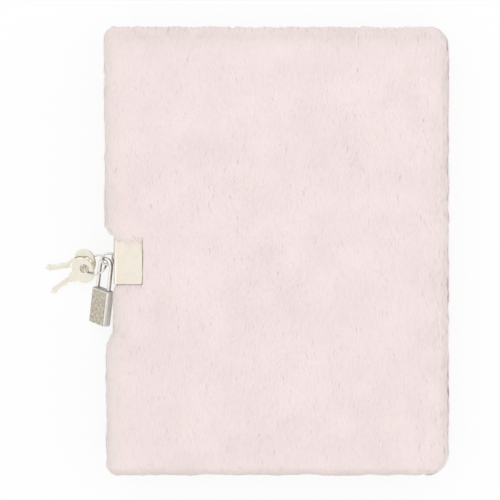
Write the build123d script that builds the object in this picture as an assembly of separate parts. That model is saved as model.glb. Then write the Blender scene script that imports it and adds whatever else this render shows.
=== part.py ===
from build123d import *
import os
from math import asin, cos, radians, sin

# Diary in a plush hard cover, with a clasp, a small padlock and two keys on a ring.
# It lies closed on its back cover. Millimetres, +X from the fore edge to the spine,
# +Y from tail to head, +Z up. The origin is the middle of the back cover's underside.

# Closed cover, plush included
cover_length = 215.0
cover_width = 165.0
fore_corner = 3.6
spine_corner = 6.6
edge_round = 3.2
plush_face = 4.0
plush_edge = 6.4

# Boards, papers and pages
board_thickness = 2.0
paper_thickness = 0.2
paper_clearance = 0.1
signatures_per_half = 4
signature_thickness = 1.25
signature_gap = 0.05
signature_fold = 0.5
page_square = 3.5
joint_gap = 7.0
lining_thickness = 0.5
lining_setback = 1.3

# The plush is pressed in along the fore edge, beside the clasp and the padlock
pinch_head = 13.0
pinch_tail = 45.5
pinch_slope = 7.5
pinch_round = 5.0
pinch_reach = 0.6

# Clasp plates, one on each cover, and their wire loops
clasp_y = -4.2
clasp_height = 24.0
clasp_flange = 13.8
clasp_sheet = 0.5
clasp_corner = 1.2
clasp_bend = 2.2
clasp_sink = 1.6
clasp_pocket = 0.15
clasp_wrap = 0.8
tab_width = 6.0
tab_length = 6.0
tab_offset = 7.6
barrel_offset = 1.5
barrel_wall = 0.42
barrel_end_gap = 0.25
loop_wire = 1.1
loop_width = 5.4
loop_reach = 6.3
loop_bow_round = 2.5
loop_bar_round = 0.7
running_clearance = 0.08
back_loop_hang = 75.0

# Padlock
lock_width = 11.8
lock_height = 17.3
lock_depth = 5.4
lock_side_round = 2.2
lock_end_round = 0.6
shackle_wire = 1.9
shackle_spacing = 7.9
shackle_rise = 16.0
shackle_bore_gap = 0.05
shackle_past_bar = 4.05
shackle_in_loop = 0.15
lock_yaw = 44.0
lock_pitch = 13.4
lock_roll = 6.8
short_leg = 5.0
long_leg = 11.0
shackle_travel = 5.5

# Lock works
plug_radius = 1.85
plug_collar_radius = 2.1
plug_collar_height = 0.8
plug_collar_rise = 2.0
plug_gap = 0.04
crank_radius = 1.2
crank_pin_radius = 0.35
crank_pin_gap = 0.12
latch_height = 1.2
latch_width = 2.3
latch_depth_below_top = 1.5
latch_bite = 0.4
latch_gap = 0.1
latch_back_wall = 0.38
notch_play = 1.75
notch_clearance = 0.1
chamber_half_depth = 1.7
chamber_back = 2.2
pin_radius = 0.4
pin_length = 3.6
pin_gap = 0.02
stop_pin_below_top = 4.0
stop_groove = 0.5
stop_end = 0.1
spring_wire = 0.3
spring_coil_radius = 0.7
spring_turns = 6
latch_spring_wire = 0.2
latch_spring_coil_radius = 0.45
latch_spring_turns = 5

# Keys and their ring
key_thickness = 1.0
bow_across = 13.3
bow_along = 10.8
key_hole = 4.3
key_hole_offset = 1.2
key_length_from_hole = 20.6
blade_width = 3.1
blade_thickness = 0.9
shoulder_width = 5.0
shoulder_length = 7.2
blade_slot_gap = 0.08
notch_depth = 0.9
notch_width = 1.3
key_edge = 0.18
key_rest_height = 0.15
ring_wire = 0.9
ring_radius = 5.8
ring_from_shackle = 5.55
ring_below_head = 3.1
ring_drop = 6.3
ring_slope_x = 0.5
ring_slope_y = -0.72
front_key_on_ring = 5.0
rear_key_on_ring = -38.0
front_key_heading = 215.0
rear_key_heading = 189.0
front_key_bank = 0.0
rear_key_bank = -20.0

# Levels, from the table up
back_inner = plush_face + board_thickness
fold_low = back_inner + paper_thickness
half_block = signatures_per_half * signature_thickness + paper_thickness
block_mid = fold_low + paper_clearance + half_block
fold_high = block_mid + half_block + paper_clearance
front_inner = fold_high + paper_thickness
front_outer = front_inner + board_thickness
cover_top = front_outer + plush_face

# Places across the cover
fore_outer = -cover_width / 2
spine_outer = cover_width / 2
cover_depth = plush_face + board_thickness + paper_thickness
fold_x = spine_outer - cover_depth
spine_board_x = spine_outer - plush_face
board_joint_x = fold_x - joint_gap
board_fore_x = fore_outer + plush_edge
board_half = cover_length / 2 - plush_edge
page_spine_x = fold_x - lining_setback
page_fore_x = board_fore_x + page_square
page_half = board_half - page_square

# Clasp places
wall_inner_x = board_fore_x - clasp_wrap
wall_outer_x = wall_inner_x - clasp_sheet
flange_end_x = wall_outer_x + clasp_flange
flange_top = cover_top - clasp_sink
barrel_x = wall_outer_x + clasp_sheet / 2
barrel_z = block_mid + barrel_offset
barrel_bore = loop_wire / 2 + running_clearance
barrel_radius = barrel_bore + barrel_wall
barrel_length = loop_width - loop_wire - 2 * barrel_end_gap
pinch_x = wall_inner_x - pinch_reach + clasp_wrap

# Padlock places, in the lock's own frame: x across the legs, y along them, z out of its face
leg_x = shackle_spacing / 2
lock_top = shackle_wire / 2 - shackle_rise
lock_bottom = lock_top - lock_height
leg_bore = shackle_wire / 2 + shackle_bore_gap
apex = Vector(barrel_x - shackle_past_bar, clasp_y + shackle_in_loop, barrel_z)
lock_frame = Pos(apex) * Rot(0, 0, -lock_roll) * Rot(lock_pitch, 0, 0) * Rot(0, -lock_yaw, 0)
latch_top = lock_top - latch_depth_below_top
latch_low = latch_top - latch_height
latch_tip_x = leg_x - shackle_wire / 2 + latch_bite
crank_angle = 45.0
crank_x = crank_radius * sin(radians(crank_angle))
latch_travel = 2 * crank_x
latch_slot_half = crank_pin_radius + crank_pin_gap
latch_back_x = crank_x - latch_slot_half - latch_back_wall
plug_top = latch_low - 2 * latch_gap
stop_pin_x = -leg_x + shackle_wire / 2 - stop_groove + stop_end + pin_radius

# Key ring and keys
ring_centre = Vector(apex.X - ring_from_shackle, apex.Y - ring_below_head, apex.Z - ring_drop)
ring_normal = Vector(-ring_slope_x, -ring_slope_y, 1).normalized()
ring_west = (Vector(-1, 0, 0) - ring_normal * Vector(-1, 0, 0).dot(ring_normal)).normalized()
ring_south = ring_normal.cross(ring_west)


def block(low, high):
    """Box between two corners."""
    size = [b - a for a, b in zip(low, high)]
    middle = [(a + b) / 2 for a, b in zip(low, high)]
    return Pos(*middle) * Box(*size)


def rod(radius, start, end, x=0.0, z=0.0):
    """Round bar along Y."""
    return Pos(x, (start + end) / 2, z) * Rot(90, 0, 0) * Cylinder(radius, abs(end - start))


def to_back(shape):
    """Mirror a piece of the front cover to the back cover."""
    return mirror(shape, about=Plane.XY.offset(block_mid))


def cover_outline():
    """Outline of the closed cover from above, drawn in beside the clasp."""
    outline = Rectangle(cover_width, cover_length)
    outline = fillet(outline.vertices().group_by(Axis.X)[0], fore_corner)
    outline = fillet(outline.vertices().group_by(Axis.X)[-1], spine_corner)
    outside = fore_outer - plush_edge
    slope_end = fore_outer - 1
    points = [
        (outside, pinch_head),
        (slope_end, pinch_head),
        (pinch_x, pinch_head - pinch_slope),
        (pinch_x, pinch_slope - pinch_tail),
        (slope_end, -pinch_tail),
        (outside, -pinch_tail),
    ]
    pinch = make_face(Polyline(*points, close=True))
    pinch = fillet(pinch.vertices().group_by(Axis.X)[-1], pinch_round)
    return outline - pinch


def cover_envelope():
    """Space that the plush fills, with every outer edge rounded."""
    outline = extrude(cover_outline(), cover_top)
    ends = Plane.YZ * Pos(0, cover_top / 2) * RectangleRounded(cover_length, cover_top, edge_round)
    along = extrude(ends, cover_width, both=True)
    section = Pos(0, cover_top / 2) * Rectangle(cover_width, cover_top)
    section = fillet(section.vertices().group_by(Axis.X)[0], edge_round)
    section = fillet(section.vertices().group_by(Axis.X)[-1], cover_depth)
    across = extrude(Plane.XZ * section, cover_length, both=True)
    return outline & along & across


def front_space(low_x, high_x, low_z, high_z):
    """Box over the full height of the cover."""
    return block((low_x, -cover_length, low_z), (high_x, cover_length, high_z))


def clasp_pockets():
    """Room for the front clasp plate in the plush."""
    half = clasp_height / 2 + clasp_pocket
    flange = block(
        (wall_outer_x - plush_edge, clasp_y - half, flange_top - clasp_sheet),
        (flange_end_x + clasp_pocket, clasp_y + half, cover_top + plush_face),
    )
    wall = block(
        (wall_outer_x - plush_edge, clasp_y - half, fold_low),
        (wall_inner_x, clasp_y + half, cover_top),
    )
    bend = block(
        (wall_outer_x - plush_edge, clasp_y - half, flange_top - clasp_bend),
        (wall_outer_x + clasp_bend, clasp_y + half, cover_top),
    )
    return flange + wall + bend + clasp_tabs()


def clasp_tabs():
    """Two tabs of the clasp plate, bent under the board."""
    tabs = []
    for side in (-1, 1):
        middle = clasp_y + side * tab_offset
        tabs.append(
            block(
                (wall_outer_x, middle - tab_width / 2, front_inner),
                (board_fore_x + tab_length, middle + tab_width / 2, front_inner + clasp_sheet),
            )
        )
    return tabs[0] + tabs[1]


def front_board():
    """Grey board of the front cover, let in for the clasp's tabs."""
    board = block(
        (board_fore_x, -board_half, front_inner),
        (board_joint_x, board_half, front_outer),
    )
    return board - clasp_tabs()


def front_plush(envelope):
    """Plush over the front board, wrapped round its three free edges."""
    space = front_space(2 * fore_outer, board_joint_x, fold_high, cover_top)
    board = block(
        (board_fore_x, -board_half, fold_high),
        (board_joint_x, board_half, front_outer),
    )
    return (envelope & space) - board - clasp_pockets()


def front_pastedown():
    """Endpaper glued to the inside of the front board."""
    return block((page_fore_x, -page_half, fold_high), (board_joint_x, page_half, front_inner))


def front_joint(envelope):
    """Plush that bends round the fold between the spine and the front board."""
    space = front_space(board_joint_x, 2 * spine_outer, fold_high, cover_top)
    hollow = front_space(board_joint_x, fold_x, fold_high, front_outer)
    inner_round = spine_board_x - fold_x
    bead = rod(inner_round, -cover_length, cover_length, fold_x, fold_high)
    return (envelope & space) - hollow - bead


def spine_board():
    """Board of the spine, between the two folds."""
    return block(
        (spine_board_x - board_thickness, -board_half, fold_low),
        (spine_board_x, board_half, fold_high),
    )


def spine_plush(envelope):
    """Plush over the outside of the spine, wrapped over its head and tail."""
    space = front_space(spine_board_x - board_thickness, 2 * spine_outer, fold_low, fold_high)
    return (envelope & space) - spine_board()


def half_pages(start):
    """One half of the text block, as folded signatures laid on one another."""
    signatures = []
    for i in range(signatures_per_half):
        low = start + i * signature_thickness
        signature = block(
            (page_fore_x, -page_half, low),
            (page_spine_x, page_half, low + signature_thickness - signature_gap),
        )
        folds = signature.edges().filter_by(Axis.Y).group_by(Axis.X)[-1]
        signatures.append(fillet(folds, signature_fold))
    return Compound(children=signatures)


def flyleaf(low):
    """Free endpaper on the outside of the text block."""
    return block((page_fore_x, -page_half, low), (page_spine_x, page_half, low + paper_thickness))


def spine_lining():
    """Cloth and paper lining glued to the back of the text block."""
    low = fold_low + paper_clearance
    high = fold_high - paper_clearance
    return block((page_spine_x, -page_half, low), (page_spine_x + lining_thickness, page_half, high))


def clasp_plate():
    """Front clasp plate: flange, wall, two tabs under the board and a rolled barrel."""
    half = clasp_height / 2
    flange = block(
        (wall_outer_x, clasp_y - half, flange_top - clasp_sheet),
        (flange_end_x, clasp_y + half, flange_top),
    )
    corners = flange.edges().filter_by(Axis.Z).group_by(Axis.X)[-1]
    flange = fillet(corners, clasp_corner)
    wall = block(
        (wall_outer_x, clasp_y - half, front_inner),
        (wall_inner_x, clasp_y + half, flange_top),
    )
    tongue = block(
        (wall_outer_x, clasp_y - barrel_length / 2, barrel_z),
        (wall_inner_x, clasp_y + barrel_length / 2, front_inner),
    )
    ends = (clasp_y - barrel_length / 2, clasp_y + barrel_length / 2)
    barrel = rod(barrel_radius, *ends, barrel_x, barrel_z)
    bore = rod(barrel_bore, *ends, barrel_x, barrel_z)
    plate = flange + wall
    inner = plate.edges().filter_by(Axis.Y).filter_by_position(Axis.X, wall_inner_x, wall_inner_x)
    plate = fillet(inner.sort_by(Axis.Z)[-1], clasp_bend - clasp_sheet)
    bend = plate.edges().filter_by(Axis.Y).group_by(Axis.X)[0].sort_by(Axis.Z)[-1]
    return fillet(bend, clasp_bend) + clasp_tabs() + tongue + barrel - bore


def wire_loop(hang=0.0):
    """Closed wire loop whose straight bar turns in a clasp plate's barrel."""
    half = loop_width / 2
    corners = [(0, -half, 0), (-loop_reach, -half, 0), (-loop_reach, half, 0), (0, half, 0)]
    radii = [loop_bar_round, loop_bow_round, loop_bow_round, loop_bar_round]
    path = FilletPolyline(*corners, radius=radii, close=True)
    section = Plane(origin=path @ 0, z_dir=path % 0) * Circle(loop_wire / 2)
    loop = sweep(section, path=path)
    return Rot(0, -hang, 0) * loop


def shackle():
    """Padlock shackle, with the latch's notch and the stop pin's groove."""
    wire = shackle_wire / 2
    bend = revolve(
        Pos(leg_x, -leg_x, 0) * Rot(90, 0, 0) * Circle(wire),
        axis=Axis((0, -leg_x, 0), (0, 0, 1)),
        revolution_arc=180,
    )
    short_end = lock_top - short_leg
    long_end = lock_top - long_leg
    legs = rod(wire, short_end, -leg_x, leg_x) + rod(wire, long_end, -leg_x, -leg_x)
    notch = block(
        (leg_x - shackle_wire, latch_low - notch_play, -shackle_wire),
        (latch_tip_x + notch_clearance, latch_top + notch_clearance, shackle_wire),
    )
    groove_high = lock_top - stop_pin_below_top + pin_radius + stop_end
    groove_low = groove_high - 2 * (pin_radius + stop_end) - shackle_travel
    groove = block(
        (-leg_x + wire - stop_groove, groove_low, -shackle_wire),
        (-leg_x + shackle_wire, groove_high, shackle_wire),
    )
    return bend + legs - notch - groove


def pin_places():
    """Centres of the pins that hold the case together, the last one stopping the shackle."""
    case_pin_x = leg_x
    spread = lock_height / 4
    middle = lock_top - short_leg - spread
    return [
        (case_pin_x, middle),
        (case_pin_x, middle - spread),
        (stop_pin_x, lock_top - stop_pin_below_top),
    ]


def case_pins(radius, length):
    """Pins across the case."""
    return [Pos(x, y, 0) * Cylinder(radius, length) for x, y in pin_places()]


def lock_case():
    """Whole padlock case, before it is parted into its two halves."""
    body = Pos(0, (lock_top + lock_bottom) / 2, 0) * Box(lock_width, lock_height, lock_depth)
    body = fillet(body.edges().filter_by(Axis.Y), lock_side_round)
    ends = body.faces().filter_by(Axis.Y)
    body = fillet([edge for face in ends for edge in face.edges()], lock_end_round)
    spring_room = (spring_turns + 1) * spring_pitch()
    cuts = [
        rod(leg_bore, lock_top - short_leg - latch_gap, lock_top + 1, leg_x),
        rod(leg_bore, lock_top - long_leg - spring_room, lock_top + 1, -leg_x),
        rod(plug_radius + plug_gap, lock_bottom - 1, plug_top + latch_gap),
        block(
            (-chamber_back, latch_low - latch_gap, -chamber_half_depth),
            (leg_x, latch_top + latch_gap, chamber_half_depth),
        ),
    ]
    collar = lock_bottom + plug_collar_rise
    collar_top = collar + plug_collar_height + plug_gap
    cuts.append(rod(plug_collar_radius + plug_gap, collar - plug_gap, collar_top))
    cuts += case_pins(pin_radius + pin_gap, pin_length + 2 * pin_gap)
    for cut in cuts:
        body -= cut
    return body


def lock_plug():
    """Key plug with its collar, keyway and crank pin."""
    plug = rod(plug_radius, lock_bottom, plug_top)
    collar = lock_bottom + plug_collar_rise
    plug += rod(plug_collar_radius, collar, collar + plug_collar_height)
    plug += rod(crank_pin_radius, plug_top - 1, latch_top, crank_x, crank_x)
    keyway = (blade_width / 2 + blade_slot_gap, blade_thickness / 2 + blade_slot_gap)
    depth = plug_top - 2 * latch_height
    return plug - block((-keyway[0], lock_bottom - 1, -keyway[1]), (keyway[0], depth, keyway[1]))


def lock_latch():
    """Sliding latch that bites into the short leg, slotted for the crank pin."""
    half = latch_width / 2
    latch = block((latch_back_x, latch_low, -half), (latch_tip_x, latch_top, half))
    slot = block(
        (crank_x - latch_slot_half, latch_low - 1, crank_x - latch_slot_half),
        (crank_x + latch_slot_half, latch_top + 1, latch_width),
    )
    return latch - slot


def spring_pitch():
    """Rise of one turn of the shackle spring, pressed short under the locked shackle."""
    return 2 * spring_wire


def coil(wire, radius, pitch, turns):
    """Coil spring along Z from the origin, with its lowest point at zero."""
    path = Helix(pitch=pitch, height=pitch * turns, radius=radius)
    section = Plane(origin=path @ 0, z_dir=path % 0) * Circle(wire / 2)
    return Pos(0, 0, wire / 2) * sweep(section, path=path, is_frenet=True)


def shackle_spring():
    """Spring under the long leg."""
    spring = coil(spring_wire, spring_coil_radius, spring_pitch(), spring_turns)
    low = lock_top - long_leg - (spring_turns + 1) * spring_pitch()
    return Pos(-leg_x, low + spring_pitch() / 4, 0) * Rot(-90, 0, 0) * spring


def latch_spring():
    """Spring behind the latch."""
    room = latch_back_x + chamber_back - 2 * latch_spring_wire
    spring = coil(latch_spring_wire, latch_spring_coil_radius, room / latch_spring_turns, latch_spring_turns)
    start = latch_spring_wire / 2 - chamber_back
    return Pos(start, (latch_low + latch_top) / 2, 0) * Rot(0, 90, 0) * spring


def ring_point(angle):
    """Point of the ring's wire, at an angle from its west side towards its south side."""
    turn = radians(angle)
    return ring_centre + (ring_west * cos(turn) + ring_south * sin(turn)) * ring_radius


def key_ring():
    """Wire ring round the shackle's long leg."""
    return Plane(origin=ring_centre, x_dir=ring_west, z_dir=ring_normal).location * Torus(
        ring_radius, ring_wire / 2
    )


def key_location(angle, heading, bank):
    """Place of a key: its hole on the ring, its tip near the table, leaning to one side."""
    hole = ring_point(angle)
    lean = blade_width / 2 * abs(sin(radians(bank)))
    drop = hole.Z - key_rest_height - blade_thickness / 2 - lean
    dip = asin(drop / key_length_from_hole)
    turn = radians(heading)
    ahead = Vector(cos(turn) * cos(dip), sin(turn) * cos(dip), -sin(dip))
    aside = Vector(-sin(turn), cos(turn), 0)
    return Plane(origin=hole, x_dir=ahead, z_dir=ahead.cross(aside)).location * Rot(bank, 0, 0)


def front_key_location():
    """Place of the upper key."""
    return key_location(front_key_on_ring, front_key_heading, front_key_bank)


def rear_key_location():
    """Place of the lower key."""
    return key_location(rear_key_on_ring, rear_key_heading, rear_key_bank)


def key(side):
    """Key with an oval bow, a shoulder and a notched blade, its hole at the origin."""
    bow = Pos(key_hole_offset, 0) * Ellipse(bow_along / 2, bow_across / 2)
    shoulder_end = key_hole_offset + shoulder_length
    bow += Pos(shoulder_end / 2, 0) * Rectangle(shoulder_end, shoulder_width)
    bow -= Circle(key_hole / 2)
    head = extrude(bow, key_thickness / 2, both=True)
    rims = [edge for face in head.faces().filter_by(Axis.Z) for edge in face.edges()]
    head = chamfer(rims, key_edge)
    half = blade_width / 2
    tip = key_length_from_hole
    points = [
        (shoulder_end - key_edge, -half),
        (tip - half, -half),
        (tip, -half / 3),
        (tip, half / 3),
        (tip - half, half),
        (shoulder_end - key_edge, half),
    ]
    outline = make_face(Polyline(*points, close=True))
    spacing = (tip - half - shoulder_end) / 4
    for i in range(3):
        middle = shoulder_end + (i + 1) * spacing
        depth = notch_depth * (1 - 0.3 * (i % 2))
        cut = Pos(middle, side * (half - depth / 2)) * Rectangle(notch_width, depth)
        outline -= cut
    blade = extrude(outline, blade_thickness / 2, both=True)
    return head + blade


def nodes():
    """Every piece of the diary, by name."""
    envelope = cover_envelope()
    plush = front_plush(envelope)
    board = front_board()
    joint = front_joint(envelope)
    plate = clasp_plate()
    pages_low = fold_low + paper_clearance
    loop_place = Pos(barrel_x, clasp_y, barrel_z)
    back_loop_place = Pos(barrel_x, clasp_y, 2 * block_mid - barrel_z)
    case = lock_case()
    front_half = case & block((-lock_width, 2 * lock_bottom, 0), (lock_width, lock_width, lock_depth))
    back_half = case & block((-lock_width, 2 * lock_bottom, -lock_depth), (lock_width, lock_width, 0))
    locked = {
        "shackle": shackle(),
        "lock_front_half": front_half,
        "lock_back_half": back_half,
        "case_pins": case_pins(pin_radius, pin_length),
        "lock_plug": lock_plug(),
        "lock_latch": lock_latch(),
        "latch_spring": latch_spring(),
        "shackle_spring": shackle_spring(),
    }
    pieces = {
        "back_board": to_back(board),
        "back_plush": to_back(plush),
        "back_pastedown": to_back(front_pastedown()),
        "back_flyleaf": flyleaf(pages_low),
        "back_pages": half_pages(pages_low + paper_thickness),
        "spine_lining": spine_lining(),
        "back_clasp_plate": to_back(plate),
        "back_loop": back_loop_place * wire_loop(back_loop_hang),
        "back_joint_plush": to_back(joint),
        "spine_board": spine_board(),
        "spine_plush": spine_plush(envelope),
        "front_joint_plush": joint,
        "front_pages": half_pages(block_mid),
        "front_flyleaf": flyleaf(block_mid + half_block - paper_thickness),
        "front_board": board,
        "front_plush": plush,
        "front_pastedown": front_pastedown(),
        "front_clasp_plate": plate,
        "front_loop": loop_place * wire_loop(),
        "key_ring": key_ring(),
        "front_key": front_key_location() * key(1),
        "rear_key": rear_key_location() * key(-1),
    }
    for name, piece in locked.items():
        if isinstance(piece, list):
            pieces[name] = Compound(children=[lock_frame * solid for solid in piece])
        else:
            pieces[name] = lock_frame * piece
    return pieces


def print_line(name, point, direction):
    """Print one line of motion: a point on it and its direction."""
    place = ", ".join(f"{value:.4f}" for value in point)
    heading = ", ".join(f"{value:.6f}" for value in direction)
    print(f"{name}: ({place}) along ({heading})")


def print_motion_lines():
    """Print where the moving pieces turn and slide."""
    along = Plane(lock_frame)
    left_leg = along.from_local_coords(Vector(-leg_x, lock_top, 0))
    print_line("back fold", (fold_x, 0, fold_low), (0, 1, 0))
    print_line("front fold", (fold_x, 0, fold_high), (0, 1, 0))
    print_line("pages fold", (page_spine_x, 0, block_mid), (0, 1, 0))
    print_line("front loop bar", (barrel_x, clasp_y, barrel_z), (0, 1, 0))
    print_line("back loop bar", (barrel_x, clasp_y, 2 * block_mid - barrel_z), (0, 1, 0))
    print_line("loop tail side", (barrel_x, clasp_y - loop_width / 2, barrel_z), (1, 0, 0))
    print_line("lock axis", tuple(along.origin), tuple(along.y_dir))
    print_line("lock across", tuple(along.origin), tuple(along.x_dir))
    print_line("long leg", tuple(left_leg), tuple(along.y_dir))
    for name, location in (("front key", front_key_location()), ("rear key", rear_key_location())):
        plane = Plane(location)
        print_line(name, tuple(plane.origin), tuple(plane.z_dir))
    print(f"shackle travel {shackle_travel}, latch travel {latch_travel:.5f}")


os.makedirs("parts", exist_ok=True)
for node_name, solid in nodes().items():
    export_step(solid, f"parts/{node_name}.step")
print_motion_lines()
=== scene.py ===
import math

import bmesh
import bpy
import numpy as np
from bpy.props import FloatProperty, FloatVectorProperty, IntProperty, PointerProperty
from mathutils import Matrix, Vector


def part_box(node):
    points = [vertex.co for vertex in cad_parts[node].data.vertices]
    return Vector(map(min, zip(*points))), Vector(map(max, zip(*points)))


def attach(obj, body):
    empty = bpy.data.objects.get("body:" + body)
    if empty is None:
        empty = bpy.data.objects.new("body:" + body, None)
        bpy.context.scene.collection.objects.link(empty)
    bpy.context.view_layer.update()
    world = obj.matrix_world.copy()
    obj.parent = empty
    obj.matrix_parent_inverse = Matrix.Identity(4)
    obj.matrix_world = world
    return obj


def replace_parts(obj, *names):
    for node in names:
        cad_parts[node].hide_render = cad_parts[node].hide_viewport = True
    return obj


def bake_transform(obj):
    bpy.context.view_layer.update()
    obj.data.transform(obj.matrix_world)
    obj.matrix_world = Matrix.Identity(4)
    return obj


bl_info = {
    "name": "Plush diary with padlock",
    "version": (1, 0, 0),
    "blender": (4, 5, 0),
    "location": "View3D > Sidebar > Diary",
    "description": "Dresses the diary's solids with pile, metal, paper and a studio",
    "category": "Object",
}

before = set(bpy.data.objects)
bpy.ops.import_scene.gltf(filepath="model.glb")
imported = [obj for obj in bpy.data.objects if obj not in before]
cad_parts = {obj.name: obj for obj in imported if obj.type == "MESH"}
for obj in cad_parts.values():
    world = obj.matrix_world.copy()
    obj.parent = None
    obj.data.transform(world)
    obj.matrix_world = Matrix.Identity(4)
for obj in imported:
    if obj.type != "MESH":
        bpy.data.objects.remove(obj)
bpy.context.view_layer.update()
MM = 0.001

# Sizes read from the solids, in metres
front_low, front_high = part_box("front_plush")
back_low, back_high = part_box("back_plush")
plate_low, plate_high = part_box("front_clasp_plate")
board_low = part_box("front_board")[0]
paper_low, paper_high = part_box("front_pastedown")
HALF_LENGTH = front_high.y
FORE_X = front_low.x
JOINT_X = front_high.x
SPINE_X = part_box("spine_plush")[1].x
COVER_TOP = front_high.z
FOLD_HIGH = front_low.z
FOLD_LOW = back_high.z
MIDDLE_Z = (COVER_TOP + back_low.z) / 2
COVER_DEPTH = COVER_TOP - FOLD_HIGH
FOLD_X = SPINE_X - COVER_DEPTH

# Places of the padlock and of the keys, as in the part
LOCK_APEX = Vector((-81.2, -4.05, 13.0)) * MM
LOCK_ROLL, LOCK_PITCH, LOCK_YAW = -6.8, 13.4, -44.0
LOCK_TOP = (0.95 - 16.0) * MM
LOCK_HEIGHT = 17.3 * MM
LOCK_WIDTH = 11.8 * MM
LOCK_DEPTH = 5.4 * MM
KEY_REST = 0.15 * MM
BLADE_WIDTH = 3.1 * MM
BLADE_THICKNESS = 0.9 * MM
KEY_REACH = 20.6 * MM
FRONT_HOLE = Vector((-92.104, -8.8296, 5.2323)) * MM
REAR_HOLE = Vector((-90.9851, -5.2562, 3.219)) * MM


def lock_matrix():
    """Frame of the padlock: x across its legs, y along them, z out of its face."""
    turn = Matrix.Rotation(math.radians(LOCK_ROLL), 4, "Z")
    turn = turn @ Matrix.Rotation(math.radians(LOCK_PITCH), 4, "X")
    turn = turn @ Matrix.Rotation(math.radians(LOCK_YAW), 4, "Y")
    return Matrix.Translation(LOCK_APEX) @ turn


def key_matrix(hole, heading, bank):
    """Frame of a key: its hole at the origin, x towards its tip."""
    lean = BLADE_WIDTH / 2 * abs(math.sin(math.radians(bank)))
    drop = hole.z - KEY_REST - BLADE_THICKNESS / 2 - lean
    dip = math.asin(drop / KEY_REACH)
    turn = math.radians(heading)
    ahead = Vector((math.cos(turn) * math.cos(dip), math.sin(turn) * math.cos(dip), -math.sin(dip)))
    normal = ahead.cross(Vector((-math.sin(turn), math.cos(turn), 0))).normalized()
    aside = normal.cross(ahead)
    place = Matrix((ahead, aside, normal)).transposed().to_4x4()
    return Matrix.Translation(hole) @ place @ Matrix.Rotation(math.radians(bank), 4, "X")


class DiaryPlush(bpy.types.PropertyGroup):
    """Pile of the cover."""

    tip: FloatVectorProperty(
        name="Tip colour", description="Colour of the pile's tips", subtype="COLOR", size=3,
        default=(0.941, 0.81, 0.8),
    )
    root: FloatVectorProperty(
        name="Root colour", description="Colour deep in the pile", subtype="COLOR", size=3,
        default=(0.936, 0.794, 0.784),
    )
    backing: FloatVectorProperty(
        name="Backing colour", description="Colour of the knitted backing", subtype="COLOR", size=3,
        default=(0.936, 0.794, 0.782),
    )
    depth: FloatProperty(
        name="Pile depth", description="From the backing to the tips", unit="LENGTH", default=0.95 * MM,
    )
    length: FloatProperty(
        name="Tuft length", description="Length of a tuft laid along the nap", unit="LENGTH",
        default=5.6 * MM,
    )
    width: FloatProperty(
        name="Tuft width", description="Width of a tuft at its root", unit="LENGTH", default=0.44 * MM,
    )
    front_tufts: IntProperty(name="Front tufts", description="Tufts on the front cover", default=152000)
    back_tufts: IntProperty(name="Back tufts", description="Tufts on the back cover", default=76000)
    spine_tufts: IntProperty(name="Spine tufts", description="Tufts on the spine", default=12000)
    joint_tufts: IntProperty(name="Fold tufts", description="Tufts on each fold", default=14000)
    turn_tufts: IntProperty(
        name="Turn-in tufts", description="Tufts sown over the inside of each cover, kept only on its margin",
        default=90000,
    )


class DiaryMetal(bpy.types.PropertyGroup):
    """Plated metal of the clasp, padlock and keys."""

    plate: FloatVectorProperty(
        name="Clasp colour", description="Satin nickel of the clasp plates", subtype="COLOR", size=3,
        default=(0.891, 0.827, 0.717),
    )
    wire: FloatVectorProperty(
        name="Wire colour", description="Bright nickel of loops, ring and shackle", subtype="COLOR", size=3,
        default=(0.8, 0.77, 0.72),
    )
    case: FloatVectorProperty(
        name="Case colour", description="Bright sides of the padlock", subtype="COLOR", size=3,
        default=(0.96, 0.935, 0.9),
    )
    panel: FloatVectorProperty(
        name="Panel colour", description="Brushed face of the padlock", subtype="COLOR", size=3,
        default=(0.548, 0.5, 0.403),
    )
    key: FloatVectorProperty(
        name="Key colour", description="Polished nickel of the keys", subtype="COLOR", size=3,
        default=(0.874, 0.826, 0.723),
    )


class DiaryPaper(bpy.types.PropertyGroup):
    """Boards, endpapers and pages."""

    page: FloatVectorProperty(
        name="Page colour", description="White of the pages", subtype="COLOR", size=3,
        default=(0.9, 0.885, 0.84),
    )
    endpaper: FloatVectorProperty(
        name="Endpaper colour", description="Pink of the endpapers", subtype="COLOR", size=3,
        default=(0.86, 0.68, 0.68),
    )
    board: FloatVectorProperty(
        name="Board colour", description="Grey of the boards", subtype="COLOR", size=3,
        default=(0.36, 0.32, 0.27),
    )
    leaf: FloatProperty(
        name="Leaf thickness", description="Thickness of one leaf", unit="LENGTH", default=0.11 * MM,
    )
    ruling: FloatProperty(
        name="Ruling", description="Distance between the ruled lines", unit="LENGTH", default=7.1 * MM,
    )


class DiaryStage(bpy.types.PropertyGroup):
    """Camera and light."""

    frame_width: FloatProperty(
        name="Frame width", description="Width that the camera sees at the cover", unit="LENGTH",
        default=0.2395,
    )
    camera_height: FloatProperty(
        name="Camera height", description="Height of the camera over the table", unit="LENGTH", default=1.5,
    )
    key_power: FloatProperty(
        name="Key light", description="Power of the soft key light", unit="POWER", default=1.8,
    )
    fill_power: FloatProperty(
        name="Fill lights", description="Power of the low fill lights", unit="POWER", default=1.5,
    )
    dome: FloatProperty(name="Dome light", description="Strength of the light from all round", default=0.835)


# Nodes


SOCKETS = {3: "NodeSocketVector", 4: "NodeSocketColor"}


def node_group(name, inputs, outputs):
    """Empty shader group with named sockets, what it is given, and its output node."""
    tree = bpy.data.node_groups.new(name, "ShaderNodeTree")
    for label, value in inputs.items():
        kind = "NodeSocketFloat" if isinstance(value, float) else SOCKETS[len(value)]
        socket = tree.interface.new_socket(name=label, in_out="INPUT", socket_type=kind)
        socket.default_value = value
    for label, kind in outputs:
        tree.interface.new_socket(name=label, in_out="OUTPUT", socket_type=kind)
    given = tree.nodes.new("NodeGroupInput").outputs
    return tree, given, tree.nodes.new("NodeGroupOutput")


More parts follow.
